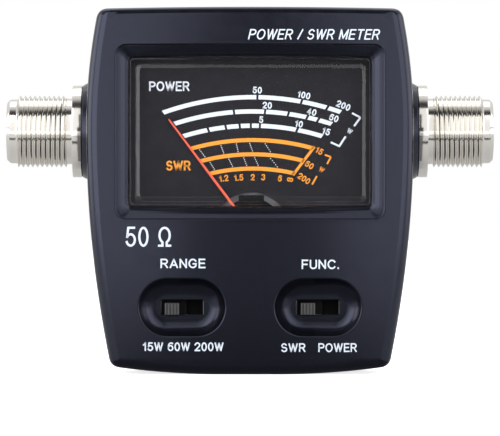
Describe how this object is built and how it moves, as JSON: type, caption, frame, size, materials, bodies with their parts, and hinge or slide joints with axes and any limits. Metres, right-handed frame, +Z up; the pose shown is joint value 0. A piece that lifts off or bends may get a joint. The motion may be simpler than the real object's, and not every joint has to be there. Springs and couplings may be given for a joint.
{
  "type": "swr meter",
  "caption": "Palm-sized SWR and power meter: bowed plastic case, moving-coil dial, slide switches, and a threaded coaxial socket on each side.",
  "frame": {"origin": "middle of the footprint, on the surface that the case stands on", "axes": "+Z up the dial, +X to the right as the dial is read and along both sockets, the dial faces -Y"},
  "size_m": [0.108, 0.033, 0.0806],
  "materials": {
    "case_plastic": "fine spark-eroded texture, satin",
    "inner_plastic": "plain moulded",
    "slider_plastic": "ribbed, satin",
    "window_acrylic": "polished clear acrylic",
    "dial_paint": "matt charcoal with printed scales",
    "needle_paint": "satin coral red",
    "socket_nickel": "bright nickel plate",
    "socket_insulator": "fluoropolymer, satin",
    "contact_brass": "machined",
    "screw_zinc": "bright zinc plate",
    "chassis_steel": "tin-plated sheet",
    "soft_iron": "blackened",
    "copper": "bare and enamelled copper",
    "circuit_board": "green solder mask on glass epoxy",
    "diode_glass": "orange glass bead",
    "trimmer_plastic": "moulded",
    "red_wire": "vinyl insulation",
    "black_wire": "vinyl insulation"
  },
  "bodies": {
    "case": {"front_shell": "case_plastic", "rear_shell": "case_plastic", "case_screw_1": "screw_zinc", "case_screw_2": "screw_zinc", "case_screw_3": "screw_zinc", "case_screw_4": "screw_zinc", "tx_socket_body": "socket_nickel", "tx_socket_insulator": "socket_insulator", "tx_socket_contact": "contact_brass", "tx_socket_nut": "socket_nickel", "ant_socket_body": "socket_nickel", "ant_socket_insulator": "socket_insulator", "ant_socket_contact": "contact_brass", "ant_socket_nut": "socket_nickel", "coupler_chassis": "chassis_steel", "coupler_board": "circuit_board", "coupler_screw_1": "screw_zinc", "coupler_screw_2": "screw_zinc", "main_line": "copper", "forward_sense_line": "copper", "reflected_sense_line": "copper", "forward_diode": "diode_glass", "reflected_diode": "diode_glass", "meter_window": "window_acrylic", "meter_case": "inner_plastic", "movement_cover": "inner_plastic", "meter_screw_1": "screw_zinc", "meter_screw_2": "screw_zinc", "dial_plate": "dial_paint", "yoke": "chassis_steel", "core_magnet": "soft_iron", "core_support": "contact_brass", "front_bridge": "inner_plastic", "rear_bridge": "contact_brass", "front_jewel_screw": "contact_brass", "rear_jewel_screw": "contact_brass", "bridge_screw_1": "screw_zinc", "bridge_screw_2": "screw_zinc", "meter_tag_plus": "contact_brass", "meter_tag_minus": "contact_brass", "range_switch_frame": "chassis_steel", "range_switch_base": "inner_plastic", "function_switch_frame": "chassis_steel", "function_switch_base": "inner_plastic", "control_board": "circuit_board", "board_screw_1": "screw_zinc", "board_screw_2": "screw_zinc", "trimmer_15": "trimmer_plastic", "trimmer_60": "trimmer_plastic", "trimmer_200": "trimmer_plastic", "meter_wire_plus": "red_wire", "meter_wire_minus": "black_wire"},
    "pointer": {"needle": "needle_paint", "moving_coil": "copper", "front_pivot": "screw_zinc", "rear_pivot": "screw_zinc", "front_hairspring": "contact_brass", "rear_hairspring": "contact_brass"},
    "range_knob": {"range_switch_slider": "slider_plastic"},
    "function_knob": {"function_switch_slider": "slider_plastic"}
  },
  "joints": [
    {"name": "pointer_swing", "type": "hinge", "parent": "case", "child": "pointer", "pos_m": [0.0003, 0, 0.0317], "axis": [0, 1, 0], "range_deg": [-2, 76], "stiffness_Nm_per_rad": 0.00005},
    {"name": "range_slide", "type": "slide", "parent": "case", "child": "range_knob", "axis": [1, 0, 0], "range_m": [0, 0.0044]},
    {"name": "function_slide", "type": "slide", "parent": "case", "child": "function_knob", "axis": [1, 0, 0], "range_m": [0, 0.0044]}
  ]
}
